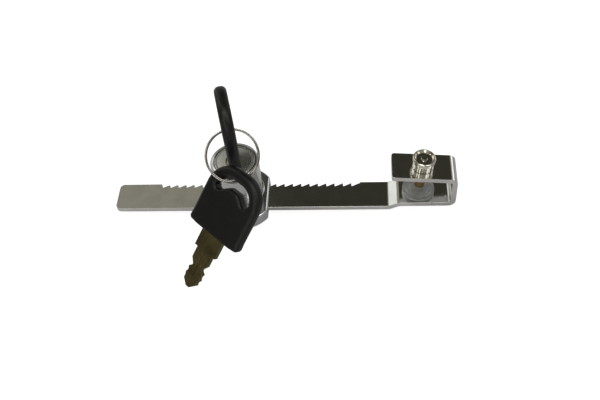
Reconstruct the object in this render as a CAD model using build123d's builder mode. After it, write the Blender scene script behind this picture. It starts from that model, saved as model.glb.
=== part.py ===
from build123d import *
import os
from math import cos, radians, sin, tan

os.makedirs("parts", exist_ok=True)

# The origin is the middle of the seat on the clamp's lower leg, straight below the clamp screw.
# The bar runs towards -X, its teeth face +Y and the lock's key faces +Z.

# Bent steel strip: ratchet bar, joggle and clamp
strip_width = 13.0
strip_thickness = 2.1
straight_length = 115.9
joggle_run = 4.25
joggle_rise = 2.14
joggle_radius = 1.6
seat_to_joggle = 7.55
seat_to_wall = 15.0
wall_height = 16.4
upper_leg_reach = 11.1
upper_leg_slope = 4.6
bend_radius = 3.2
bar_corner_radius = 2.0
leg_corner_radius = 1.2

# Ratchet teeth, counted from the bar's free end
tooth_pitch = 3.56
tooth_count = 24
first_tooth = 18.3
tooth_root = 2.0
tooth_tip_drop = 0.55
root_flat = 0.45
tip_flat = 0.3

# Clamp screw and its pressure pad
screw_diameter = 4.0
screw_hole_clearance = 0.05
screw_head_gap = 0.15
screw_rim_diameter = 9.3
screw_rim_height = 2.0
screw_rim_fillet = 0.75
screw_rim_chamfer = 0.3
screw_bowl_diameter = 7.6
screw_bowl_depth = 1.0
screw_boss_diameter = 2.6
screw_boss_height = 0.6
knurl_diameter = 8.5
knurl_height = 3.4
knurl_count = 24
knurl_depth = 0.5
pad_diameter = 13.2
pad_step_diameters = (10.8, 8.6)
pad_disc_height = 1.2
pad_step_heights = (1.1, 1.3)
pad_chamfer = 0.2
pad_lift = 0.75
pad_socket_depth = 2.4
pad_socket_clearance = 0.06
screw_travel = 8.4

# Lock housing. Heights are measured from the bar's underside.
slide_clearance = 0.12
lock_tooth = 10
pawl_lead = 1.0
lock_offset = 2.3
barrel_radius = 9.9
barrel_chamfer = 0.55
barrel_root_fillet = 0.8
base_side_wall = 8.68
base_half_length = 12.3
base_top = 3.4
base_back = 2.1
base_fillet = 1.0
base_corner_radius = 1.2
base_bottom_chamfer = 0.35
cover_inset = 1.7
cover_height = 1.0
cover_clearance = 0.05
cover_screw_inset = 4.1
cover_screw_heading = 48.6
cover_screw_radius = 1.0
cover_screw_head = 1.9
cover_screw_slot = 0.5
cover_screw_length = 4.2

# Plug, cam and wafers
plug_radius = 6.4
plug_clearance = 0.05
flange_radius = 8.15
flange_clearance = 0.1
flange_height = 1.5
face_recess = 0.2
dimple_radius = 3.55
dimple_depth = 0.5
key_angle = 14.0
cam_height = 0.8
cam_radius = 6.3
cam_gap = 0.05
cam_lug_length = 2.2
cam_lug_width = 2.0
cam_lug_height = 0.8
web_height = 0.55
pin_orbit = 1.5
pin_radius = 1.1
pin_hole_clearance = 0.15
pin_bottom_gap = 0.2
wafer_count = 4
first_wafer = 4.5
last_wafer_to_tip = 1.1
wafer_width = 6.2
wafer_height = 0.9
wafer_clearance = 0.06
retainer_reach = 0.7
retainer_width = 2.6
retainer_height = 2.3
retainer_groove_clearance = 0.2

# Pawl
pawl_plate_height = 1.2
pawl_clearance = 0.1
pawl_half_width = 5.0
pawl_front = 4.2
pawl_back = 6.9
pawl_tooth_clearance = 0.1
pawl_tooth_count = 2
pawl_pin_play = 0.08
pawl_click_room = 2.3
spring_radius = 1.05
spring_wire = 0.16
spring_turns = 4
spring_end_wall = 2.7
spring_room = 0.12

# Keys
blade_thickness = 2.0
blade_width = 8.0
blade_reach = 16.9
blade_tip_gap = 0.2
blade_clearance = 0.15
wafer_window_clearance = 0.3
neck_width = 11.0
neck_length = 7.7
tang_length = 9.0
tang_width = 8.0
tip_length = 2.6
tip_flat_width = 1.2
groove_width = 1.3
groove_depth = 0.45
left_cuts = (0.0, 1.7, 0.9, 0.8)
right_cuts = (0.0, 1.5, 0.6, 0.9)
cut_flat = 0.7
cut_peak = 0.45
bow_width = 26.0
bow_height = 28.2
bow_thickness = 5.0
bow_fillet = 2.1
bow_bottom_fillet = 1.0
bow_limb_width = 4.8
bow_arch_radius = 11.0
bow_crown_drop = 9.1
bow_hole_side = 0.85
bow_hole_end_radius = 0.3

# Split ring, and how the ring and the loose key hang from the key in the lock
ring_radius = 10.0
ring_band = 0.95
ring_wire_width = 0.72
ring_gap = 0.06
ring_edge = 0.15
ring_crossing_angle = 30.0
ring_lap_angle = -40.0
ring_heading = -68.12
ring_lean = 47.37
seat_from_side = 5.847
seat_from_top = 10.004
ring_seat_angle = 82.9
loose_seat_angle = 248.73
loose_seat_from_side = 8.917
loose_seat_from_top = 6.807
loose_key_heading = 45.76
loose_key_slope = 46.43
loose_key_roll = -4.91

bar_underside = -strip_thickness - joggle_rise
bar_top = -joggle_rise
half_width = strip_width / 2
joggle_end_x = -seat_to_joggle
joggle_start_x = joggle_end_x - joggle_run
free_end_x = joggle_start_x - straight_length
clamp_top = wall_height - strip_thickness
wafer_pitch = (blade_reach - tip_length - last_wafer_to_tip - first_wafer) / (wafer_count - 1)
lock_x = free_end_x + first_tooth + lock_tooth * tooth_pitch - pawl_lead
base_radius = half_width + slide_clearance + base_side_wall
base_bottom_z = bar_underside - base_back
base_top_z = bar_underside + base_top
lean = radians(upper_leg_slope)

# The screw stands square on the sloping upper leg and meets the seat at the origin.
screw_up = Vector(sin(lean), 0, cos(lean))
leg_top_distance = clamp_top * cos(lean) + seat_to_wall * sin(lean)
screw_plane = Plane(origin=screw_up * leg_top_distance, x_dir=(cos(lean), 0, -sin(lean)), z_dir=screw_up)


def finish(piece, name):
    """Name one finished piece and write it out."""
    piece.part.label = name
    export_step(piece.part, f"parts/{name}.step")


def tooth_gap():
    """One gap between ratchet teeth, from its steep face at x = 0 to the next one."""
    Polygon(
        (0, half_width + 1),
        (0, half_width - tooth_root),
        (root_flat, half_width - tooth_root),
        (tooth_pitch - tip_flat, half_width - tooth_tip_drop),
        (tooth_pitch, half_width - tooth_tip_drop),
        (tooth_pitch, half_width + 1),
        align=None,
    )


def base_outline(inset):
    """The lock base seen from above: a disc with two flats, drawn smaller by the inset."""
    with Locations((lock_x, 0)):
        Circle(base_radius - inset)
        Rectangle(2 * (base_half_length - inset), 3 * base_radius, mode=Mode.INTERSECT)
    fillet(vertices(), base_corner_radius)


def cover_screw_places():
    """The two cover screws, on a diagonal beside the bar's slot."""
    turn = radians(cover_screw_heading)
    along = (base_radius - cover_screw_inset) * cos(turn)
    across = (base_radius - cover_screw_inset) * sin(turn)
    return [(lock_x + along, -across), (lock_x - along, across)]


def wafer_outline(reach):
    """A flat wafer with a window for the blade. The retainer reaches out past the plug."""
    Circle(plug_radius - wafer_clearance)
    if reach:
        with Locations((plug_radius - 1, 0)):
            Rectangle(1 + reach, retainer_width, align=(Align.MIN, Align.CENTER))
    Rectangle(4 * plug_radius, wafer_width, mode=Mode.INTERSECT)
    Rectangle(
        blade_width + 2 * wafer_window_clearance,
        blade_thickness + 2 * wafer_window_clearance,
        mode=Mode.SUBTRACT,
    )


def bar_teeth_shadow():
    """The bar's toothed edge, moved back by the pawl's travel and its clearance."""
    shift = pawl_travel + pawl_tooth_clearance
    root_y = half_width - tooth_root + shift
    tip_y = half_width - tooth_tip_drop + shift
    points = [(tooth_place - tooth_pitch, 0)]
    for i in range(-1, 4):
        steep = tooth_place + i * tooth_pitch
        points.append((steep + pawl_tooth_clearance, tip_y))
        points.append((steep + pawl_tooth_clearance, root_y))
        points.append((steep + root_flat, root_y))
        points.append((steep + tooth_pitch - tip_flat, tip_y))
    points.append((points[-1][0], 0))
    Polygon(*points, align=None)


def cut_edge(cuts):
    """Distances along and across one toothed edge of the blade, from the neck to the tip."""
    places = []
    for i, depth in enumerate(cuts):
        along = -neck_length - first_wafer - i * wafer_pitch
        places.append((along + cut_flat / 2, blade_width / 2 - depth))
        places.append((along - cut_flat / 2, blade_width / 2 - depth))
        if i and i + 1 < len(cuts):
            peak = min(depth, cuts[i + 1]) - cut_peak
            places.append((along - wafer_pitch / 2, blade_width / 2 - max(peak, 0)))
    return places


def ring_section(height):
    """The split ring's flat wire, with its four edges broken."""
    with Locations((ring_radius, height)):
        Rectangle(ring_band, ring_wire_width)
    chamfer(vertices(), ring_edge)


def make_blade(plane, name):
    """One key's steel blade, with the neck above it and the tang that the bow holds."""
    blade_end = -neck_length - blade_reach
    right = [(across, along) for along, across in cut_edge(right_cuts)]
    left = [(-across, along) for along, across in cut_edge(left_cuts)]
    outline = [
        (-tang_width / 2, tang_length),
        (tang_width / 2, tang_length),
        (tang_width / 2, 0),
        (neck_width / 2, 0),
        (neck_width / 2, -neck_length),
        (blade_width / 2, -neck_length),
        *right,
        (blade_width / 2 - 0.8, blade_end + tip_length),
        (tip_flat_width / 2, blade_end),
        (-tip_flat_width / 2, blade_end),
        (-blade_width / 2 + 0.8, blade_end + tip_length),
        *reversed(left),
        (-blade_width / 2, -neck_length),
        (-neck_width / 2, -neck_length),
        (-neck_width / 2, 0),
        (-tang_width / 2, 0),
    ]
    with BuildPart() as blade:
        with BuildSketch(plane):
            with BuildLine():
                Polyline(*outline, close=True)
            make_face()
        extrude(amount=blade_thickness / 2, both=True)
        for face_plane in (plane.offset(blade_thickness / 2), plane.offset(-blade_thickness / 2)):
            with BuildSketch(face_plane):
                with Locations((0, -neck_length - 0.6)):
                    Rectangle(groove_width, blade_reach + 1, align=(Align.CENTER, Align.MAX))
            extrude(amount=groove_depth, both=True, mode=Mode.SUBTRACT)
    finish(blade, name + "_blade")


def bow_hole():
    """The crescent hole: straight sides under a round arch, with the domed crown below."""
    hole_half_width = bow_width / 2 - bow_limb_width
    hole_bottom = bow_height - bow_arch_radius - bow_hole_side
    crown_top = bow_height - bow_crown_drop
    crown_rise = crown_top - hole_bottom
    crown_radius = (hole_half_width**2 + crown_rise**2) / (2 * crown_rise)
    with BuildSketch() as hole:
        with Locations((0, bow_height - bow_limb_width)):
            Rectangle(2 * hole_half_width, bow_arch_radius, align=(Align.CENTER, Align.MAX))
        fillet(hole.vertices().group_by(Axis.Y)[-1], bow_arch_radius - bow_limb_width)
        with Locations((0, crown_top - crown_radius)):
            Circle(crown_radius, mode=Mode.SUBTRACT)
        fillet(hole.vertices().group_by(Axis.Y)[0], bow_hole_end_radius)
    return hole.sketch


def make_bow(plane, name):
    """One key's plastic bow, a thick rounded slab moulded round the tang."""
    with BuildPart() as bow:
        with BuildSketch(plane) as bow_face:
            with Locations((0, bow_height)):
                Rectangle(bow_width, bow_height + 2 * bow_fillet, align=(Align.CENTER, Align.MAX))
            fillet(bow_face.vertices().group_by(Axis.Y)[-1], bow_arch_radius)
            add(bow_hole(), mode=Mode.SUBTRACT)
        extrude(amount=bow_thickness / 2, both=True)
        broad_faces = bow.faces().filter_by(Axis(plane.origin, plane.z_dir))
        fillet(broad_faces.edges(), bow_fillet)
        with BuildSketch(plane):
            Rectangle(2 * bow_width, 2 * bow_height, align=(Align.CENTER, Align.MIN))
        extrude(amount=bow_thickness, both=True, mode=Mode.INTERSECT)
        fillet(bow.faces().sort_by(Axis(plane.origin, plane.y_dir))[0].edges(), bow_bottom_fillet)
        with BuildSketch(plane):
            Rectangle(tang_width, tang_length, align=(Align.CENTER, Align.MIN))
        extrude(amount=blade_thickness / 2, both=True, mode=Mode.SUBTRACT)
    finish(bow, name + "_bow")


with BuildPart() as ratchet_bar:
    with BuildSketch(Plane.XZ):
        with BuildLine():
            FilletPolyline(
                (free_end_x, bar_underside),
                (joggle_start_x, bar_underside),
                (joggle_end_x, -strip_thickness),
                (seat_to_wall, -strip_thickness),
                (seat_to_wall, clamp_top),
                (-upper_leg_reach, clamp_top + (seat_to_wall + upper_leg_reach) * tan(lean)),
                radius=[joggle_radius + strip_thickness, joggle_radius, bend_radius, bend_radius],
            )
            offset(amount=strip_thickness, side=Side.LEFT)
        make_face()
    extrude(amount=half_width, both=True)
    fillet(ratchet_bar.edges().filter_by(Axis.Z).group_by(Axis.X)[0], bar_corner_radius)
    leg_corners = ratchet_bar.edges().filter_by(lambda edge: edge.length < 1.05 * strip_thickness)
    leg_corners = leg_corners.filter_by_position(Axis.X, -upper_leg_reach - 1, -upper_leg_reach + 1)
    leg_corners = leg_corners.filter_by(lambda edge: edge.center().Z > clamp_top - strip_thickness)
    fillet(leg_corners, leg_corner_radius)
    with BuildSketch(Plane.XY.offset(bar_underside)):
        with Locations(*[(free_end_x + first_tooth + i * tooth_pitch, 0) for i in range(tooth_count)]):
            tooth_gap()
    extrude(amount=strip_thickness, mode=Mode.SUBTRACT)
    with BuildSketch(screw_plane):
        Circle(screw_diameter / 2 + screw_hole_clearance)
    extrude(amount=1.5 * strip_thickness, both=True, mode=Mode.SUBTRACT)
finish(ratchet_bar, "ratchet_bar")

# Clamp screw, placed by distance along its axis from the seat
pad_top = pad_lift + pad_disc_height + sum(pad_step_heights)
socket_bottom = pad_top - pad_socket_depth
head_bottom = leg_top_distance + screw_head_gap
rim_bottom = head_bottom + knurl_height
seat_plane = Plane(origin=(0, 0, 0), x_dir=screw_plane.x_dir, z_dir=screw_up)

with BuildPart() as screw_pad:
    with BuildSketch(seat_plane.offset(pad_lift)):
        Circle(pad_diameter / 2)
    extrude(amount=pad_disc_height)
    chamfer(screw_pad.edges().filter_by(GeomType.CIRCLE), pad_chamfer)
    with BuildSketch(seat_plane.offset(pad_lift + pad_disc_height)):
        Circle(pad_step_diameters[0] / 2)
    extrude(amount=pad_step_heights[0])
    chamfer(screw_pad.faces().sort_by(Axis.Z)[-1].edges(), pad_chamfer)
    with BuildSketch(seat_plane.offset(pad_lift + pad_disc_height + pad_step_heights[0])):
        Circle(pad_step_diameters[1] / 2)
    extrude(amount=pad_step_heights[1])
    chamfer(screw_pad.faces().sort_by(Axis.Z)[-1].edges(), pad_chamfer)
    with BuildSketch(seat_plane.offset(pad_top)):
        Circle(screw_diameter / 2 + pad_socket_clearance)
    extrude(amount=-pad_socket_depth, mode=Mode.SUBTRACT)
finish(screw_pad, "screw_pad")

with BuildPart() as screw_shank:
    with BuildSketch(seat_plane.offset(socket_bottom)):
        Circle(screw_diameter / 2)
    extrude(amount=rim_bottom - socket_bottom)
    chamfer(screw_shank.faces().sort_by(Axis.Z)[0].edges(), 0.4)
finish(screw_shank, "screw_shank")

with BuildPart() as thumb_screw_head:
    with BuildSketch(seat_plane.offset(head_bottom)):
        Circle(knurl_diameter / 2)
        with PolarLocations(knurl_diameter / 2, knurl_count):
            Rectangle(knurl_depth, knurl_depth, rotation=45, mode=Mode.SUBTRACT)
    extrude(amount=knurl_height)
    with BuildSketch(seat_plane.offset(rim_bottom)):
        Circle(screw_rim_diameter / 2)
    extrude(amount=screw_rim_height)
    rim_edges = thumb_screw_head.edges().filter_by(GeomType.CIRCLE)
    rim_edges = rim_edges.filter_by(lambda edge: abs(edge.radius - screw_rim_diameter / 2) < 0.01)
    fillet(rim_edges.sort_by(Axis.Z)[-1], screw_rim_fillet)
    chamfer(rim_edges.sort_by(Axis.Z)[0], screw_rim_chamfer)
    with BuildSketch(seat_plane.offset(rim_bottom + screw_rim_height)):
        Circle(screw_bowl_diameter / 2)
    extrude(amount=-screw_bowl_depth, taper=30, mode=Mode.SUBTRACT)
    with BuildSketch(seat_plane.offset(rim_bottom + screw_rim_height - screw_bowl_depth)):
        Circle(screw_boss_diameter / 2)
    extrude(amount=screw_boss_height, taper=20)
    with BuildSketch(seat_plane.offset(head_bottom)):
        Circle(screw_diameter / 2)
    extrude(amount=knurl_height, mode=Mode.SUBTRACT)
finish(thumb_screw_head, "thumb_screw_head")

# Lock heights, from the bar upwards
slot_top = bar_top + slide_clearance
slot_bottom = bar_underside - slide_clearance
pawl_bottom = bar_top + pawl_clearance
pawl_top = pawl_bottom + pawl_plate_height
web_bottom = pawl_top + pawl_clearance
web_top = web_bottom + web_height
cam_bottom = web_top + cam_gap
plug_bottom = cam_bottom + cam_height
plug_face = plug_bottom + blade_tip_gap + blade_reach
face_z = plug_face + face_recess
flange_bottom = plug_face - flange_height
retainer_bottom = plug_bottom + retainer_height - wafer_height / 2
bore_radius = plug_radius + plug_clearance
lock_y = lock_offset
pawl_back_y = lock_y + pawl_back
spring_channel = spring_radius + spring_wire + spring_room
spring_z = bar_underside + strip_thickness / 2
spring_length = base_radius - spring_end_wall - pawl_back_y

with BuildPart() as back_cover:
    with BuildSketch(Plane.XY.offset(base_bottom_z)):
        base_outline(cover_inset + cover_clearance)
    extrude(amount=cover_height)
    with BuildSketch(Plane.XY.offset(base_bottom_z)):
        with Locations(*cover_screw_places()):
            Circle(cover_screw_radius)
    extrude(amount=cover_height, mode=Mode.SUBTRACT)
    with BuildSketch(Plane.XY.offset(base_bottom_z)):
        with Locations(*cover_screw_places()):
            Circle(cover_screw_head)
    extrude(amount=cover_screw_head - cover_screw_radius, taper=45, mode=Mode.SUBTRACT)
finish(back_cover, "back_cover")

with BuildPart() as cover_screws:
    with BuildSketch(Plane.XY.offset(base_bottom_z)):
        with Locations(*cover_screw_places()):
            Circle(cover_screw_radius)
    extrude(amount=cover_screw_length)
    with BuildSketch(Plane.XY.offset(base_bottom_z)):
        with Locations(*cover_screw_places()):
            Circle(cover_screw_head)
    extrude(amount=cover_screw_head - cover_screw_radius, taper=45)
    with BuildSketch(Plane.XY.offset(base_bottom_z)):
        with Locations(*cover_screw_places()):
            Rectangle(3 * cover_screw_head, cover_screw_slot)
    extrude(amount=cover_screw_slot, mode=Mode.SUBTRACT)
finish(cover_screws, "cover_screws")

with BuildPart() as lock_housing:
    with BuildSketch(Plane.XY.offset(base_bottom_z)):
        base_outline(0)
    extrude(amount=base_top + base_back)
    fillet(lock_housing.faces().sort_by(Axis.Z)[-1].edges(), base_fillet)
    chamfer(lock_housing.faces().sort_by(Axis.Z)[0].edges(), base_bottom_chamfer)
    with BuildSketch(Plane.XY.offset(base_top_z)):
        with Locations((lock_x, lock_y)):
            Circle(barrel_radius)
    extrude(amount=face_z - base_top_z)
    chamfer(lock_housing.faces().sort_by(Axis.Z)[-1].edges(), barrel_chamfer)
    barrel_root = lock_housing.edges().filter_by(GeomType.CIRCLE)
    barrel_root = barrel_root.filter_by(lambda edge: abs(edge.radius - barrel_radius) < 0.01)
    fillet(barrel_root.filter_by(lambda edge: abs(edge.center().Z - base_top_z) < 0.01), barrel_root_fillet)
    with BuildSketch(Plane.XY.offset(slot_bottom)):
        with Locations((lock_x, 0)):
            Rectangle(3 * base_radius, strip_width + 2 * slide_clearance)
    extrude(amount=slot_top - slot_bottom, mode=Mode.SUBTRACT)
    with BuildSketch(Plane.XY.offset(base_bottom_z)):
        base_outline(cover_inset)
    extrude(amount=cover_height, mode=Mode.SUBTRACT)
    with BuildSketch(Plane.XY.offset(base_bottom_z)):
        with Locations(*cover_screw_places()):
            Circle(cover_screw_radius)
    extrude(amount=cover_screw_length, mode=Mode.SUBTRACT)
    with BuildSketch(Plane.XY.offset(base_bottom_z)):
        with Locations((lock_x, lock_y - pawl_front - pawl_click_room)):
            Rectangle(
                2 * (pawl_half_width + pawl_clearance),
                pawl_front + pawl_click_room + pawl_back + pawl_clearance,
                align=(Align.CENTER, Align.MIN),
            )
    extrude(amount=web_bottom - base_bottom_z, mode=Mode.SUBTRACT)
    with BuildSketch(Plane.XY.offset(base_bottom_z)):
        with Locations((lock_x, pawl_back_y)):
            Rectangle(2 * spring_channel, spring_length, align=(Align.CENTER, Align.MIN))
    extrude(amount=spring_z + spring_channel - base_bottom_z, mode=Mode.SUBTRACT)
    with BuildSketch(Plane.XY.offset(web_bottom)):
        with Locations((lock_x, lock_y)):
            Circle(pin_orbit + pin_radius + pin_hole_clearance)
    extrude(amount=web_height, mode=Mode.SUBTRACT)
    with BuildSketch(Plane.XY.offset(web_top)):
        with Locations((lock_x, lock_y)):
            Circle(bore_radius)
    extrude(amount=face_z - web_top, mode=Mode.SUBTRACT)
    with BuildSketch(Plane.XY.offset(flange_bottom)):
        with Locations((lock_x, lock_y)):
            Circle(flange_radius + flange_clearance)
    extrude(amount=face_z - flange_bottom, mode=Mode.SUBTRACT)
    with BuildSketch(Plane.XY.offset(retainer_bottom - retainer_groove_clearance)):
        with Locations((lock_x, lock_y)):
            Circle(plug_radius + retainer_reach + retainer_groove_clearance)
    extrude(amount=wafer_height + 2 * retainer_groove_clearance, mode=Mode.SUBTRACT)
    rim_inner = lock_housing.edges().filter_by(GeomType.CIRCLE)
    rim_inner = rim_inner.filter_by(lambda edge: abs(edge.radius - flange_radius - flange_clearance) < 0.01)
    chamfer(rim_inner.filter_by(lambda edge: abs(edge.center().Z - face_z) < 0.01), 0.2)
finish(lock_housing, "lock_housing")

with BuildPart() as pawl_spring:
    with BuildLine() as coil:
        Helix(
            pitch=(spring_length - 2 * spring_wire) / spring_turns,
            height=spring_length - 2 * spring_wire,
            radius=spring_radius,
            center=(lock_x, pawl_back_y + spring_wire, spring_z),
            direction=(0, 1, 0),
        )
    with BuildSketch(Plane(origin=coil.line @ 0, z_dir=coil.line % 0)):
        RegularPolygon(spring_wire, 6)
    sweep(is_frenet=True)
finish(pawl_spring, "pawl_spring")

# Plug, cam and wafers, drawn on a plane whose local X runs along the keyway's length
key_heading = radians(90 + key_angle)
keyway_plane = Plane(
    origin=(lock_x, lock_y, 0),
    x_dir=(cos(key_heading), sin(key_heading), 0),
    z_dir=(0, 0, 1),
)
wafer_bottoms = [
    plug_face - first_wafer - i * wafer_pitch - wafer_height / 2 for i in range(wafer_count)
]
keyway_length = blade_width + 2 * blade_clearance
keyway_width = blade_thickness + 2 * blade_clearance
pin_angle = radians(135)
pin_x = lock_x + pin_orbit * cos(pin_angle)
pin_y = lock_y + pin_orbit * sin(pin_angle)
lug_offset = (wafer_width + cam_lug_width) / 2 - 0.4

with BuildPart() as lock_plug:
    with BuildSketch(keyway_plane.offset(plug_bottom)):
        Circle(plug_radius)
    extrude(amount=flange_bottom - plug_bottom)
    with BuildSketch(keyway_plane.offset(flange_bottom)):
        Circle(flange_radius)
    extrude(amount=flange_height)
    chamfer(lock_plug.faces().sort_by(Axis.Z)[-1].edges(), 0.15)
    with BuildSketch(keyway_plane.offset(plug_face)):
        Circle(dimple_radius)
    extrude(amount=-dimple_depth, taper=40, mode=Mode.SUBTRACT)
    with BuildSketch(keyway_plane.offset(plug_bottom)):
        Rectangle(keyway_length, keyway_width)
    extrude(amount=plug_face - plug_bottom, mode=Mode.SUBTRACT)
    for slot_floor in wafer_bottoms + [retainer_bottom]:
        with BuildSketch(keyway_plane.offset(slot_floor)):
            Rectangle(3 * plug_radius, wafer_width + 2 * wafer_clearance)
        extrude(amount=wafer_height + wafer_clearance, mode=Mode.SUBTRACT)
    with BuildSketch(keyway_plane.offset(plug_bottom)):
        with Locations((0, lug_offset), (0, -lug_offset)):
            Rectangle(cam_lug_length, cam_lug_width)
    extrude(amount=cam_lug_height, mode=Mode.SUBTRACT)
finish(lock_plug, "lock_plug")

with BuildPart() as drive_cam:
    with BuildSketch(keyway_plane.offset(cam_bottom)):
        Circle(cam_radius)
    extrude(amount=cam_height)
    with BuildSketch(keyway_plane.offset(plug_bottom)):
        with Locations((0, lug_offset), (0, -lug_offset)):
            Rectangle(cam_lug_length, cam_lug_width)
    extrude(amount=cam_lug_height)
    with BuildSketch(Plane.XY.offset(pawl_bottom + pin_bottom_gap)):
        with Locations((pin_x, pin_y)):
            Circle(pin_radius)
    extrude(amount=cam_bottom - pawl_bottom - pin_bottom_gap)
finish(drive_cam, "drive_cam")

for number, floor in enumerate(wafer_bottoms, start=1):
    with BuildPart() as wafer:
        with BuildSketch(keyway_plane.offset(floor)):
            wafer_outline(0)
        extrude(amount=wafer_height)
    finish(wafer, f"wafer_{number}")

with BuildPart() as plug_retainer:
    with BuildSketch(keyway_plane.offset(retainer_bottom)):
        wafer_outline(retainer_reach)
    extrude(amount=wafer_height)
finish(plug_retainer, "plug_retainer")

# The pawl is drawn withdrawn. Its teeth are cut from the bar's own tooth shape.
tooth_place = free_end_x + first_tooth + (lock_tooth - 1) * tooth_pitch
pawl_travel = 2 * pin_orbit * sin(pin_angle)
with BuildPart() as pawl:
    with BuildSketch(Plane.XY.offset(pawl_bottom)):
        with Locations((lock_x, lock_y - pawl_front)):
            Rectangle(2 * pawl_half_width, pawl_front + pawl_back, align=(Align.CENTER, Align.MIN))
    extrude(amount=pawl_plate_height)
    with BuildSketch(Plane.XY.offset(bar_underside)):
        with Locations((lock_x, pawl_back_y)):
            Rectangle(
                2 * pawl_half_width,
                pawl_back_y - half_width + tooth_root - pawl_travel - pawl_tooth_clearance,
                align=(Align.CENTER, Align.MAX),
            )
    extrude(amount=pawl_bottom - bar_underside)
    with BuildSketch(Plane.XY.offset(bar_underside)):
        bar_teeth_shadow()
    extrude(amount=pawl_bottom - bar_underside, mode=Mode.SUBTRACT)
    with BuildSketch(Plane.XY.offset(pawl_bottom)):
        with Locations(((pin_x + lock_x - pin_orbit) / 2, pin_y)):
            SlotCenterToCenter(
                abs(pin_x - lock_x + pin_orbit) + 2 * pawl_pin_play,
                2 * (pin_radius + pawl_pin_play),
            )
    extrude(amount=pawl_plate_height, mode=Mode.SUBTRACT)
finish(pawl, "pawl")

# Keys
lock_key_plane = Plane(
    origin=Vector(lock_x, lock_y, plug_face + neck_length),
    x_dir=keyway_plane.x_dir,
    z_dir=keyway_plane.x_dir.cross(Vector(0, 0, 1)),
)
ring_heading_angle = radians(ring_heading)
ring_lean_angle = radians(ring_lean)
ring_normal = Vector(
    sin(ring_lean_angle) * cos(ring_heading_angle),
    sin(ring_lean_angle) * sin(ring_heading_angle),
    cos(ring_lean_angle),
)
ring_level = Vector(-ring_normal.Y, ring_normal.X, 0).normalized()
ring_slope = ring_normal.cross(ring_level)


def ring_arm(angle):
    """The vector from the ring's centre to its wire at an angle round the ring."""
    turn = radians(angle)
    return ring_level * (ring_radius * cos(turn)) + ring_slope * (ring_radius * sin(turn))


ring_seat_place = (seat_from_side - bow_width / 2, bow_height - seat_from_top)
ring_seat = lock_key_plane.from_local_coords(ring_seat_place)
ring_centre = Vector(ring_seat) - ring_arm(ring_seat_angle)
ring_plane = Plane(origin=ring_centre, x_dir=ring_arm(ring_lap_angle), z_dir=ring_normal)

heading = radians(loose_key_heading)
slope = radians(loose_key_slope)
roll = radians(loose_key_roll)
loose_up = Vector(cos(slope) * cos(heading), cos(slope) * sin(heading), sin(slope))
loose_level = Vector(sin(heading), -cos(heading), 0)
loose_across = loose_level * cos(roll) + loose_level.cross(loose_up) * sin(roll)
loose_seat = ring_centre + ring_arm(loose_seat_angle)
loose_seat_x = loose_seat_from_side - bow_width / 2
loose_seat_y = bow_height - loose_seat_from_top
loose_key_plane = Plane(
    origin=loose_seat - loose_across * loose_seat_x - loose_up * loose_seat_y,
    x_dir=loose_across,
    z_dir=loose_across.cross(loose_up),
)

for plane, name in ((lock_key_plane, "key_1"), (loose_key_plane, "key_2")):
    make_blade(plane, name)
    make_bow(plane, name)

# Split ring: two flat turns joined by one crossing
ring_step = ring_wire_width + ring_gap
turn_angle = 360 - ring_crossing_angle
low_turn = -ring_step / 2
crossing_plane = Plane.XY.rotated((0, 0, turn_angle))
with BuildPart() as level_ring:
    for height in (low_turn, low_turn + ring_step):
        with BuildSketch(Plane.XZ):
            ring_section(height)
        revolve(axis=Axis.Z, revolution_arc=turn_angle)
    with BuildLine(crossing_plane):
        Helix(
            pitch=ring_step * 360 / ring_crossing_angle,
            height=ring_step,
            radius=ring_radius,
            center=(0, 0, low_turn),
        )
    with BuildSketch(Plane(origin=(0, 0, 0), x_dir=crossing_plane.x_dir, z_dir=-crossing_plane.y_dir)):
        ring_section(low_turn)
    sweep(is_frenet=True)
with BuildPart() as split_ring:
    add(level_ring.part.moved(ring_plane.location))
finish(split_ring, "split_ring")
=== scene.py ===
from math import cos, pi, radians, sin

import bmesh
import bpy
from mathutils import Matrix, Vector
from mathutils.geometry import tessellate_polygon


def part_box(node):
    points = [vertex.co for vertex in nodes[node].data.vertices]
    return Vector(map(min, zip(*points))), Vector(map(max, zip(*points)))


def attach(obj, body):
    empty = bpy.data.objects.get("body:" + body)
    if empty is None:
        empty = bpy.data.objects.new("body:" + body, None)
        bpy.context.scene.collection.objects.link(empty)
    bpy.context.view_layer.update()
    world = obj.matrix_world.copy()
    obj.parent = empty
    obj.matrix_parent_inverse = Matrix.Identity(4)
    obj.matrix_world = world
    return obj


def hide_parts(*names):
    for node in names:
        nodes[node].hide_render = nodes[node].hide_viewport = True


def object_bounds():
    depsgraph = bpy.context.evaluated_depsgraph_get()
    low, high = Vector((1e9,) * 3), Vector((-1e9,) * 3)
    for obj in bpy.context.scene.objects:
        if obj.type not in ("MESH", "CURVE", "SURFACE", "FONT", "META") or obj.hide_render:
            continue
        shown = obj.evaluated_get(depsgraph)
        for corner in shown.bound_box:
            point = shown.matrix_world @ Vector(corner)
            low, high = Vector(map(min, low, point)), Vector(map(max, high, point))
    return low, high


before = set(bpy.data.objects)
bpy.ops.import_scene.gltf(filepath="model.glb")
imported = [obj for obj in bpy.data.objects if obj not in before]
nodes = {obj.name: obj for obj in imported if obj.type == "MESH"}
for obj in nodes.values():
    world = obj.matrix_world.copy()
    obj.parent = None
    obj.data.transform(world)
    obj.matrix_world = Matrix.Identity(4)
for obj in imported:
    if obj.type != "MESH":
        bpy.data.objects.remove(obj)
cad_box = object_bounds()
floor_height = cad_box[0].z
lock_axis = (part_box("lock_plug")[0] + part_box("lock_plug")[1]) / 2
part_centre = (cad_box[0] + cad_box[1]) / 2

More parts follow.
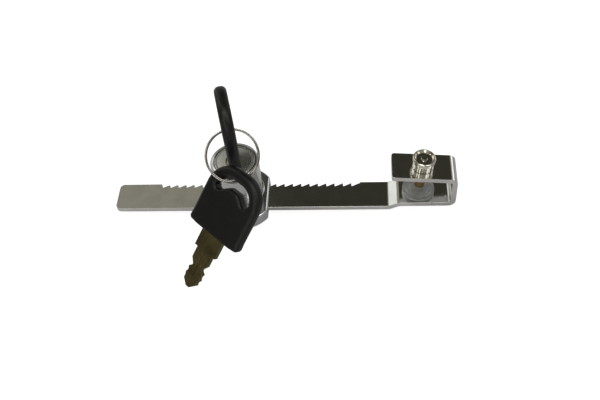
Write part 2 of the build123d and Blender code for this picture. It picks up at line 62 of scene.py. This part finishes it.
# How the materials are made: fine surface sizes in metres, and shares
mottle_scale = 140.0
noise_detail = 3.0
noise_roughness = 0.6
shading_samples = 8
grain_depth = 0.00002
plastic_grain_depth = 0.00003
crown_radius = 0.006
crown_drop = 0.0005
plug_crown_reach = 0.007
barrel_crown_reach = 0.0105
# Painted shade in the knurl's grooves: how far it reaches, the share of tone left in the grooves, and the
# sunk and open levels between which it fades
knurl_groove_reach = 0.0008
knurl_shade_tone = 0.12
groove_light = 0.35
open_light = 0.8

# The key bows: sizes in metres, and how nearly square to the broad face a direction along the edge is.
# Their outline is the solid's, and the hole's domed sill is the photograph's
bow_arch = 0.011
bow_corner = 0.0017
bow_rounding = 0.0021
bow_base_rounding = 0.00095
bow_base_reach = 0.003
bow_limb = 0.0048
bow_point_gap = 0.0008
sill_rounding = 0.0012
sill_drop = 0.0082
sill_crown = 0.0015
pocket_drop = 0.0113
pocket_radius = 0.0012
edgewise_limit = 0.05

# How finely the bows' curves are divided, and the angle in degrees at which the hole's arch starts
arch_steps = 24
corner_steps = 5
hole_arch_steps = 16
hole_arch_start = 8
pocket_steps = 6
sill_steps = 24
rounding_steps = 6

# The surroundings, in metres
floor_size = 4
floor_gap = 0.00002
dome_radius = 1.5

# The camera, fitted to the photograph: millimetres for the lens, metres for the place, degrees for the angles
sensor_width = 36
focal_length = 47.03
camera_shift = (0.0005, -0.0037)
camera_place = (-0.02314, -0.20445, 0.25725)
camera_tilt = 51.75
camera_turn = 7.34
camera_roll = -6.33
nearest_seen = 0.01
farthest_seen = 10

# The Mix node's sockets for colours, which have the same names as its sockets for numbers
mix_colour_a = 6
mix_colour_b = 7
mix_colour_result = 2


def new_material(name, base, metallic=0.0, roughness=0.4):
    """A material with one Principled shader, its node tree and its shader."""
    material = bpy.data.materials.new(name)
    material.use_nodes = True
    tree = material.node_tree
    shader = tree.nodes["Principled BSDF"]
    shader.inputs["Base Color"].default_value = (*base, 1)
    shader.inputs["Metallic"].default_value = metallic
    shader.inputs["Roughness"].default_value = roughness
    return material, tree, shader


def feed(tree, socket, value):
    """Gives an input a value, or links another node's output to it."""
    if isinstance(value, bpy.types.NodeSocket):
        tree.links.new(value, socket)
    else:
        socket.default_value = value


def add_node(tree, kind, settings=None, **inputs):
    """A shader node with some settings and input values."""
    node = tree.nodes.new(kind)
    for key, value in (settings or {}).items():
        setattr(node, key, value)
    for key, value in inputs.items():
        feed(tree, node.inputs[key.replace("_", " ")], value)
    return node


def math_node(tree, operation, first, second):
    """A calculation with two numbers."""
    node = add_node(tree, "ShaderNodeMath", {"operation": operation})
    feed(tree, node.inputs[0], first)
    feed(tree, node.inputs[1], second)
    return node.outputs["Value"]


def vector_node(tree, operation, first, second):
    """The node of a calculation with two vectors."""
    node = add_node(tree, "ShaderNodeVectorMath", {"operation": operation})
    feed(tree, node.inputs[0], first)
    feed(tree, node.inputs[1], second)
    return node


def ramp(tree, factor, stops):
    """A colour ramp with the given (position, colour) stops."""
    node = add_node(tree, "ShaderNodeValToRGB", Fac=factor)
    elements = node.color_ramp.elements
    for element, (position, colour) in zip(elements, stops):
        element.position = position
        element.color = (*colour, 1)
    return node.outputs["Color"]


def object_noise(tree, scale, stretch=(1, 1, 1)):
    """Noise in the part's own coordinates, stretched along the given axes."""
    place = add_node(tree, "ShaderNodeTexCoord")
    mapping = add_node(tree, "ShaderNodeMapping", Vector=place.outputs["Object"], Scale=stretch)
    noise = add_node(tree, "ShaderNodeTexNoise", Vector=mapping.outputs["Vector"], Scale=scale)
    noise.inputs["Detail"].default_value = noise_detail
    noise.inputs["Roughness"].default_value = noise_roughness
    return noise.outputs["Fac"]


def grain(tree, shader, factor, strength, distance=grain_depth, edge=0.0):
    """A shallow bump on the shader from a factor, over edges rounded by a radius."""
    bump = add_node(tree, "ShaderNodeBump", Height=factor, Strength=strength, Distance=distance)
    if edge:
        rounded = add_node(tree, "ShaderNodeBevel", {"samples": shading_samples}, Radius=edge)
        tree.links.new(rounded.outputs["Normal"], bump.inputs["Normal"])
    tree.links.new(bump.outputs["Normal"], shader.inputs["Normal"])


def vary_roughness(tree, shader, factor, smoothest, roughest):
    """Roughness that wanders between two values."""
    wander = add_node(tree, "ShaderNodeMapRange", Value=factor)
    wander.inputs["To Min"].default_value = smoothest
    wander.inputs["To Max"].default_value = roughest
    tree.links.new(wander.outputs["Result"], shader.inputs["Roughness"])


def metal(name, light, dark, roughness, scale=900.0, stretch=(1, 1, 1), bump=0.15, edge=0.0002):
    """A plated or bare metal with a faint mottled tone, uneven gloss and a fine grain."""
    smoothest, roughest = roughness
    material, tree, shader = new_material(name, light, metallic=1.0, roughness=smoothest)
    mottle = object_noise(tree, mottle_scale)
    colour = ramp(tree, mottle, [(0.3, dark), (0.62, light)])
    tree.links.new(colour, shader.inputs["Base Color"])
    fine = object_noise(tree, scale, stretch)
    vary_roughness(tree, shader, fine, smoothest, roughest)
    grain(tree, shader, fine, bump, edge=edge)
    return material


def crown_face(material, radius, drop, limit):
    """Bends the normals as if a turned face of the lock fell by a drop at a radius, and not past a limit."""
    tree = material.node_tree
    shader = tree.nodes["Principled BSDF"]
    place = add_node(tree, "ShaderNodeTexCoord")
    away = vector_node(tree, "SUBTRACT", place.outputs["Object"], lock_axis).outputs["Vector"]
    level = vector_node(tree, "MULTIPLY", away, (1, 1, 0)).outputs["Vector"]
    square = vector_node(tree, "DOT_PRODUCT", level, level).outputs["Value"]
    inner = math_node(tree, "MINIMUM", square, limit**2)
    height = math_node(tree, "MULTIPLY", inner, -drop / radius**2)
    bump = add_node(tree, "ShaderNodeBump", Height=height, Strength=1.0, Distance=1.0)
    before = shader.inputs["Normal"].links[0].from_socket
    tree.links.new(before, bump.inputs["Normal"])
    tree.links.new(bump.outputs["Normal"], shader.inputs["Normal"])


def paint_groove_shade(material, reach, tone):
    """Paints shade into the metal's colour: darkens it to a share of its tone where the surface lies sunk
    between its neighbours.
    """
    tree = material.node_tree
    shader = tree.nodes["Principled BSDF"]
    colour = shader.inputs["Base Color"].links[0].from_socket
    sunk = add_node(tree, "ShaderNodeAmbientOcclusion", {"samples": shading_samples}, Distance=reach)
    factor = add_node(tree, "ShaderNodeMapRange", Value=sunk.outputs["AO"])
    factor.inputs["From Min"].default_value = groove_light
    factor.inputs["From Max"].default_value = open_light
    factor.inputs["To Min"].default_value = tone
    shade = add_node(tree, "ShaderNodeVectorMath", {"operation": "SCALE"})
    tree.links.new(colour, shade.inputs[0])
    tree.links.new(factor.outputs["Result"], shade.inputs["Scale"])
    tree.links.new(shade.outputs["Vector"], shader.inputs["Base Color"])


def strip_plate():
    """The bar's bright plating, with the fine lines of the rolled strip along it."""
    return metal(
        "strip_plate",
        light=(0.80, 0.79, 0.77),
        dark=(0.70, 0.69, 0.67),
        roughness=(0.07, 0.14),
        scale=1500.0,
        stretch=(0.25, 1, 1),
    )


def lock_plate():
    """The lock housing's bright plating, with soft edges and a slightly crowned rim."""
    material = metal(
        "lock_plate",
        light=(0.80, 0.81, 0.81),
        dark=(0.70, 0.71, 0.72),
        roughness=(0.10, 0.18),
        bump=0.05,
        edge=0.0005,
    )
    crown_face(material, crown_radius, crown_drop, barrel_crown_reach)
    return material


def plug_satin():
    """The plug's satin plating, on a slightly crowned face."""
    material = metal(
        "plug_satin",
        light=(0.90, 0.90, 0.87),
        dark=(0.80, 0.82, 0.83),
        roughness=(0.20, 0.28),
        scale=700.0,
        bump=0.03,
        edge=0.0004,
    )
    crown_face(material, crown_radius, crown_drop, plug_crown_reach)
    return material


def nickel_head():
    """The thumb screw's warm nickel, with shade painted into the grooves of its knurl."""
    material = metal(
        "nickel_head",
        light=(0.86, 0.83, 0.74),
        dark=(0.76, 0.73, 0.64),
        roughness=(0.04, 0.10),
        edge=0.00008,
    )
    # Painted shade: the knurl's grooves are darkened in the base colour
    paint_groove_shade(material, knurl_groove_reach, knurl_shade_tone)
    return material


def brass_shank():
    """The clamp screw's dull brass."""
    return metal("brass_screw", light=(0.56, 0.38, 0.17), dark=(0.34, 0.22, 0.09), roughness=(0.14, 0.26))


def ring_polish():
    """The split ring's polished wire."""
    return metal(
        "ring_polish",
        light=(0.74, 0.71, 0.66),
        dark=(0.62, 0.59, 0.54),
        roughness=(0.05, 0.12),
        edge=0.0004,
    )


def key_plate():
    """The keys' worn, dark yellowish plating."""
    return metal(
        "key_plate",
        light=(0.24, 0.205, 0.10),
        dark=(0.13, 0.11, 0.05),
        roughness=(0.24, 0.42),
        scale=1200.0,
    )


def plain_steel():
    """The bare steel inside the lock."""
    return metal("inner_steel", light=(0.55, 0.55, 0.56), dark=(0.42, 0.42, 0.43), roughness=(0.28, 0.45))


def plain_brass():
    """The brass of the wafers and the plug's retainer."""
    return metal("wafer_brass", light=(0.78, 0.62, 0.32), dark=(0.60, 0.46, 0.22), roughness=(0.28, 0.42))


def cover_plate():
    """The back cover's satin steel."""
    return metal("cover_steel", light=(0.60, 0.60, 0.60), dark=(0.50, 0.50, 0.50), roughness=(0.22, 0.38))


def bow_plastic():
    """Black moulded plastic with a soft sheen and a very fine grain."""
    material, tree, shader = new_material("bow_plastic", (0.004, 0.004, 0.004))
    shader.inputs["Specular IOR Level"].default_value = 0.42
    mottle = object_noise(tree, 260.0)
    colour = ramp(tree, mottle, [(0.35, (0.003, 0.003, 0.003)), (0.7, (0.006, 0.006, 0.006))])
    tree.links.new(colour, shader.inputs["Base Color"])
    fine = object_noise(tree, 2600.0)
    vary_roughness(tree, shader, fine, smoothest=0.34, roughest=0.46)
    grain(tree, shader, fine, strength=0.25, distance=plastic_grain_depth)
    return material


def clear_plastic():
    """Milky clear plastic for the screw's pad."""
    material, tree, shader = new_material("clear_plastic", (0.62, 0.63, 0.61), roughness=0.25)
    shader.inputs["Transmission Weight"].default_value = 0.75
    shader.inputs["IOR"].default_value = 1.46
    cloud = object_noise(tree, 500.0)
    vary_roughness(tree, shader, cloud, smoothest=0.25, roughest=0.36)
    return material


def finish_nodes(finish_of):
    """Gives each CAD node its one material."""
    for name, material in finish_of.items():
        slots = nodes[name].data.materials
        slots.clear()
        slots.append(material)
        for polygon in nodes[name].data.polygons:
            polygon.material_index = 0


def directions_by_area(thing):
    """The directions that a node's flat faces look in, those with the largest area first."""
    turn = thing.matrix_world.to_3x3()
    areas = {}
    for polygon in thing.data.polygons:
        normal = (turn @ polygon.normal).normalized()
        key = tuple(round(part, 2) for part in normal)
        total, area = areas.get(key, (Vector(), 0.0))
        areas[key] = (total + normal * polygon.area, area + polygon.area)
    largest_first = sorted(areas.values(), key=lambda found: -found[1])
    return [total.normalized() for total, _ in largest_first]


def bow_frame(name):
    """The middle of a bow's bottom edge, its across, up and thickness directions, and its three sizes."""
    thing = nodes[name]
    directions = directions_by_area(thing)
    through = directions[0]
    edgewise = [direction for direction in directions if abs(direction.dot(through)) < edgewise_limit]
    upward = -edgewise[0]
    across = upward.cross(through)
    corners = [thing.matrix_world @ vertex.co for vertex in thing.data.vertices]
    spans = []
    for way in (across, upward, through):
        reach = [corner.dot(way) for corner in corners]
        spans.append((min(reach), max(reach)))
    start = across * sum(spans[0]) / 2 + upward * spans[1][0] + through * sum(spans[2]) / 2
    return start, across, upward, through, [high - low for low, high in spans]


def arc(centre, radius, start, end, steps):
    """Points on an arc between two angles in degrees."""
    angles = [radians(start + (end - start) * step / steps) for step in range(steps + 1)]
    return [(centre[0] + radius * cos(angle), centre[1] + radius * sin(angle)) for angle in angles]


def spread(points, gap):
    """The closed outline with points added wherever two are further apart than a gap."""
    result = []
    for place, here in enumerate(points):
        there = points[(place + 1) % len(points)]
        rise, run = there[1] - here[1], there[0] - here[0]
        pieces = max(1, round((run**2 + rise**2) ** 0.5 / gap))
        for step in range(pieces):
            share = step / pieces
            result.append((here[0] + run * share, here[1] + rise * share))
    return result


def smooth_step(value):
    """0 below 0, 1 above 1 and a smooth rise between."""
    share = min(1.0, max(0.0, value))
    return share * share * (3 - 2 * share)


def bow_outline(width, height):
    """The bow from the front: a square foot and a round arch."""
    half, shoulder = width / 2, height - bow_arch
    points = arc((half - bow_corner, bow_corner), bow_corner, -90, 0, corner_steps)
    points += arc((half - bow_arch, shoulder), bow_arch, 0, 90, arch_steps)
    points += arc((bow_arch - half, shoulder), bow_arch, 90, 180, arch_steps)
    points += arc((bow_corner - half, bow_corner), bow_corner, 180, 270, corner_steps)
    return spread(points, bow_point_gap)


def outline_rounding(points, width):
    """The rounding at each point of the outline: small along the foot, full on the sides and the arch."""
    base_end = width / 2 - bow_corner - bow_base_reach
    result = []
    for sideways, up in points:
        cornered = smooth_step(max(up / bow_corner, (abs(sideways) - base_end) / bow_base_reach))
        raised = smooth_step((up - bow_corner) / bow_base_reach)
        rounding = bow_base_rounding + (bow_corner - bow_base_rounding) * cornered
        result.append(rounding + (bow_rounding - bow_corner) * raised)
    return result


def sill_height(sideways, pocket, height):
    """The height of the hole's domed sill at a place across the bow."""
    fall = smooth_step((abs(sideways) - sill_crown) / (pocket - sill_crown))
    return height - sill_drop - (pocket_drop - sill_drop) * fall


def bow_hole(width, height):
    """The hole and the rounding at each point: a round arch over a domed sill with a pocket at each side."""
    half, shoulder = width / 2 - bow_limb, height - bow_arch
    inner = bow_arch - bow_limb
    pocket, pocket_middle = half - pocket_radius, height - pocket_drop + pocket_radius
    arch = arc((half - inner, shoulder), inner, hole_arch_start, 90, hole_arch_steps)
    arch += arc((inner - half, shoulder), inner, 90, 180 - hole_arch_start, hole_arch_steps)
    lower = arc((-pocket, pocket_middle), pocket_radius, 180, 270, pocket_steps)
    for step in range(1, sill_steps):
        sideways = pocket * (2 * step / sill_steps - 1)
        lower.append((sideways, sill_height(sideways, pocket, height)))
    lower += arc((pocket, pocket_middle), pocket_radius, 270, 360, pocket_steps)
    # The two ends of the lower part end the straight sides, and keep their rounding
    side_points, sill_points = len(arch) + 1, len(lower) - 2
    return arch + lower, [bow_rounding] * side_points + [sill_rounding] * sill_points + [bow_rounding]


def moved_out(points, shifts):
    """The closed counterclockwise outline with each point moved outward by its own distance."""
    result = []
    for place, here in enumerate(points):
        before, after = points[place - 1], points[(place + 1) % len(points)]
        run = Vector((after[0] - before[0], after[1] - before[1])).normalized()
        result.append((here[0] + run.y * shifts[place], here[1] - run.x * shifts[place]))
    return result


def rounded_wall(form, placed, points, rounding, way, thickness):
    """Rows of vertices from face to face, rounded away from the outline: outward for 1, inward for -1."""
    rows = []
    front = [(1, step) for step in range(rounding_steps + 1)]
    back = [(-1, step) for step in reversed(range(rounding_steps + 1))]
    for side, step in front + back:
        turn = pi / 2 * step / rounding_steps
        shifted = moved_out(points, [way * radius * (1 - sin(turn)) for radius in rounding])
        row = []
        for (sideways, up), radius in zip(shifted, rounding):
            depth = side * (thickness / 2 - radius * (1 - cos(turn)))
            row.append(form.verts.new(placed(sideways, up, depth)))
        rows.append(row)
    for upper, lower in zip(rows, rows[1:]):
        for place in range(len(upper)):
            following = (place + 1) % len(upper)
            form.faces.new((upper[place], upper[following], lower[following], lower[place]))
    return rows


def fill_between(form, outer, inner):
    """A flat face between a row of vertices round the outside and one round the hole."""
    joined = outer + inner
    for triangle in tessellate_polygon([[vertex.co for vertex in row] for row in (outer, inner)]):
        form.faces.new([joined[place] for place in triangle])


def make_bow(name, body):
    """A key's bow as a rounded slab with its hole, in the place of the plain one."""
    start, across, upward, through, (width, height, thickness) = bow_frame(name)

    def placed(sideways, up, depth):
        return start + across * sideways + upward * up + through * depth

    outline = bow_outline(width, height)
    hole, hole_rounding = bow_hole(width, height)
    form = bmesh.new()
    outside = rounded_wall(form, placed, outline, outline_rounding(outline, width), -1, thickness)
    inside = rounded_wall(form, placed, hole, hole_rounding, 1, thickness)
    fill_between(form, outside[0], inside[0])
    fill_between(form, outside[-1], inside[-1])
    bmesh.ops.recalc_face_normals(form, faces=form.faces)
    mesh = bpy.data.meshes.new(name + "_form")
    form.to_mesh(mesh)
    form.free()
    mesh.shade_smooth()
    mesh.materials.append(black_plastic)
    piece = bpy.data.objects.new(name + "_form", mesh)
    bpy.context.scene.collection.objects.link(piece)
    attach(piece, body)
    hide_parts(name)


def seen_directly(tree, kinds):
    """1 for what the camera and the given kinds of rays see, and 0 for the light on rough surfaces."""
    path = add_node(tree, "ShaderNodeLightPath")
    total = path.outputs["Is Camera Ray"]
    for kind in kinds:
        total = math_node(tree, "MAXIMUM", total, path.outputs[kind])
    return total


def two_levels(tree, seen, as_light, kinds=()):
    """One strength for what the camera and the given kinds of rays see, and another as light."""
    level = add_node(tree, "ShaderNodeMapRange", Value=seen_directly(tree, kinds))
    level.inputs["To Min"].default_value = as_light
    level.inputs["To Max"].default_value = seen
    return level.outputs["Result"]


def make_world():
    """A soft room whose backdrop is white."""
    world = bpy.data.worlds.new("room")
    bpy.context.scene.world = world
    world.use_nodes = True
    tree = world.node_tree
    background = tree.nodes["Background"]
    background.inputs["Color"].default_value = (1, 1, 1, 1)
    strength = two_levels(tree, seen=1.0, as_light=0.22, kinds=("Is Glossy Ray", "Is Transmission Ray"))
    tree.links.new(strength, background.inputs["Strength"])


def make_floor():
    """A plain pale floor that keeps a faint shadow."""
    under_part = (part_centre.x, 0, floor_height - floor_gap)
    bpy.ops.mesh.primitive_plane_add(size=floor_size, location=under_part)
    floor = bpy.context.object
    floor.name = "floor"
    material, tree, shader = new_material("floor", (0.86, 0.86, 0.86), roughness=0.9)
    shader.inputs["Specular IOR Level"].default_value = 0.0
    shader.inputs["Emission Color"].default_value = (1, 1, 1, 1)
    tree.links.new(two_levels(tree, seen=0.80, as_light=0.0), shader.inputs["Emission Strength"])
    floor.data.materials.append(material)


def heading(azimuth, elevation):
    """The direction at an azimuth clockwise from +Y and an elevation, in degrees."""
    turn, lift = radians(azimuth), radians(elevation)
    return Vector((sin(turn) * cos(lift), cos(turn) * cos(lift), sin(lift)))


def room_patch(tree, way, under, azimuth, elevation, full, gone, colour):
    """A round patch of a colour over another, full out to one angle from its middle and gone at a second."""
    toward = vector_node(tree, "DOT_PRODUCT", way, heading(azimuth, elevation)).outputs["Value"]
    edge = add_node(tree, "ShaderNodeMapRange", {"interpolation_type": "SMOOTHSTEP"}, Value=toward)
    edge.inputs["From Min"].default_value = cos(radians(gone))
    edge.inputs["From Max"].default_value = cos(radians(full))
    mixed = add_node(tree, "ShaderNodeMix", {"data_type": "RGBA"}, Factor=edge.outputs["Result"])
    tree.links.new(under, mixed.inputs[mix_colour_a])
    mixed.inputs[mix_colour_b].default_value = (*colour, 1)
    return mixed.outputs[mix_colour_result]


# What the metal mirrors, seen from the part's middle: behind is +Y, and right is +X. Angles are in degrees.
# A later patch covers an earlier one
room_colour = (0.27, 0.27, 0.25)
room_patches = {
    "dark behind, for the clamp's half of the bar": dict(
        azimuth=12, elevation=50, full=18, gone=22, colour=(0.036, 0.036, 0.027)
    ),
    "grey behind left, for the bar's free end": dict(
        azimuth=-40, elevation=50, full=13.5, gone=18, colour=(0.27, 0.262, 0.215)
    ),
    "pale behind left, for the joggle": dict(
        azimuth=-48, elevation=26, full=8, gone=16, colour=(0.92, 0.97, 0.92)
    ),
    "pale behind right, for the clamp's bend": dict(
        azimuth=48, elevation=22, full=6, gone=12, colour=(1.2, 1.2, 1.2)
    ),
    "dim left, for the loose key": dict(
        azimuth=-105, elevation=25, full=25, gone=40, colour=(0.16, 0.15, 0.12)
    ),
    "bright right": dict(azimuth=118, elevation=45, full=11, gone=15, colour=(1.5, 1.5, 1.45)),
    "bright front left": dict(azimuth=212, elevation=45, full=16, gone=21, colour=(1.3, 1.3, 1.25)),
    "dark front, for the ring": dict(
        azimuth=152, elevation=37, full=9, gone=17, colour=(0.10, 0.10, 0.09)
    ),
    "bright left": dict(azimuth=-60, elevation=46, full=8, gone=12, colour=(1.2, 1.2, 1.15)),
    "lamp overhead": dict(azimuth=180, elevation=82, full=8, gone=13, colour=(4.0, 4.0, 3.8)),
    "lamp right": dict(azimuth=120, elevation=60, full=6, gone=10, colour=(3.0, 3.0, 2.9)),
    "bright low in front": dict(azimuth=180, elevation=18, full=9, gone=15, colour=(1.6, 1.6, 1.5)),
}


def room_material():
    """The studio's glow: grey walls with soft pale and dark areas."""
    material = bpy.data.materials.new("studio_dome")
    material.use_nodes = True
    tree = material.node_tree
    tree.nodes.remove(tree.nodes["Principled BSDF"])
    place = add_node(tree, "ShaderNodeTexCoord")
    way = add_node(tree, "ShaderNodeVectorMath", {"operation": "NORMALIZE"})
    tree.links.new(place.outputs["Object"], way.inputs[0])
    wall = add_node(tree, "ShaderNodeRGB")
    wall.outputs[0].default_value = (*room_colour, 1)
    total = wall.outputs[0]
    for patch in room_patches.values():
        total = room_patch(tree, way.outputs["Vector"], total, **patch)
    glow = add_node(tree, "ShaderNodeEmission", Color=total)
    tree.links.new(glow.outputs["Emission"], tree.nodes["Material Output"].inputs["Surface"])
    return material


def make_room():
    """A studio seen only in reflections."""
    bpy.ops.mesh.primitive_uv_sphere_add(
        segments=48, ring_count=24, radius=dome_radius, location=part_centre
    )
    dome = bpy.context.object
    dome.name = "studio_dome"
    dome.data.materials.append(room_material())
    dome.visible_camera = False
    dome.visible_diffuse = False
    dome.visible_shadow = False
    dome.visible_transmission = False


def make_lamp(name, azimuth, elevation, distance, size, power, colour=(1, 1, 1)):
    """A soft square lamp that looks at the part from a direction."""
    out = heading(azimuth, elevation)
    data = bpy.data.lights.new(name, "AREA")
    data.shape = "SQUARE"
    data.size = size
    data.energy = power
    data.color = colour
    lamp = bpy.data.objects.new(name, data)
    bpy.context.scene.collection.objects.link(lamp)
    lamp.location = part_centre + out * distance
    lamp.visible_glossy = False
    lamp.rotation_mode = "QUATERNION"
    lamp.rotation_quaternion = out.to_track_quat("Z", "Y")


def camera_axes():
    """The camera's right, up and ahead directions, from its tilt, turn and roll."""
    tilt, turn, roll = radians(camera_tilt), radians(camera_turn), radians(camera_roll)
    right = Vector((cos(turn), sin(turn), 0))
    level_up = Vector((-sin(turn) * sin(tilt), cos(turn) * sin(tilt), cos(tilt)))
    ahead = Vector((-sin(turn) * cos(tilt), cos(turn) * cos(tilt), -sin(tilt)))
    across = right * cos(roll) + level_up * sin(roll)
    upward = level_up * cos(roll) - right * sin(roll)
    return across, upward, ahead


def make_camera():
    """The camera at the photograph's place, angle and focal length."""
    data = bpy.data.cameras.new("camera")
    data.sensor_width = sensor_width
    data.lens = focal_length
    data.shift_x, data.shift_y = camera_shift
    data.clip_start = nearest_seen
    data.clip_end = farthest_seen
    camera = bpy.data.objects.new("camera", data)
    bpy.context.scene.collection.objects.link(camera)
    across, upward, ahead = camera_axes()
    turned = Matrix((across, upward, -ahead)).transposed().to_4x4()
    camera.matrix_world = Matrix.Translation(camera_place) @ turned
    bpy.context.scene.camera = camera


steel = plain_steel()
brass = plain_brass()
key_metal = key_plate()
black_plastic = bow_plastic()
finish_nodes(
    {
        "ratchet_bar": strip_plate(),
        "screw_pad": clear_plastic(),
        "screw_shank": brass_shank(),
        "thumb_screw_head": nickel_head(),
        "lock_housing": lock_plate(),
        "back_cover": cover_plate(),
        "cover_screws": steel,
        "pawl_spring": steel,
        "pawl": steel,
        "lock_plug": plug_satin(),
        "drive_cam": steel,
        "plug_retainer": brass,
        "wafer_1": brass,
        "wafer_2": brass,
        "wafer_3": brass,
        "wafer_4": brass,
        "key_1_blade": key_metal,
        "key_2_blade": key_metal,
        "key_1_bow": black_plastic,
        "key_2_bow": black_plastic,
        "split_ring": ring_polish(),
    }
)
make_bow("key_1_bow", "lock_key")
make_bow("key_2_bow", "loose_key")

make_world()
make_floor()
make_room()
make_lamp(
    "key_light", azimuth=-60, elevation=55, distance=0.9, size=0.45, power=2.0, colour=(1.0, 0.97, 0.93)
)
make_lamp("front_light", azimuth=165, elevation=45, distance=1.0, size=0.6, power=1.4)
make_camera()
bpy.context.scene.view_settings.view_transform = "Standard"
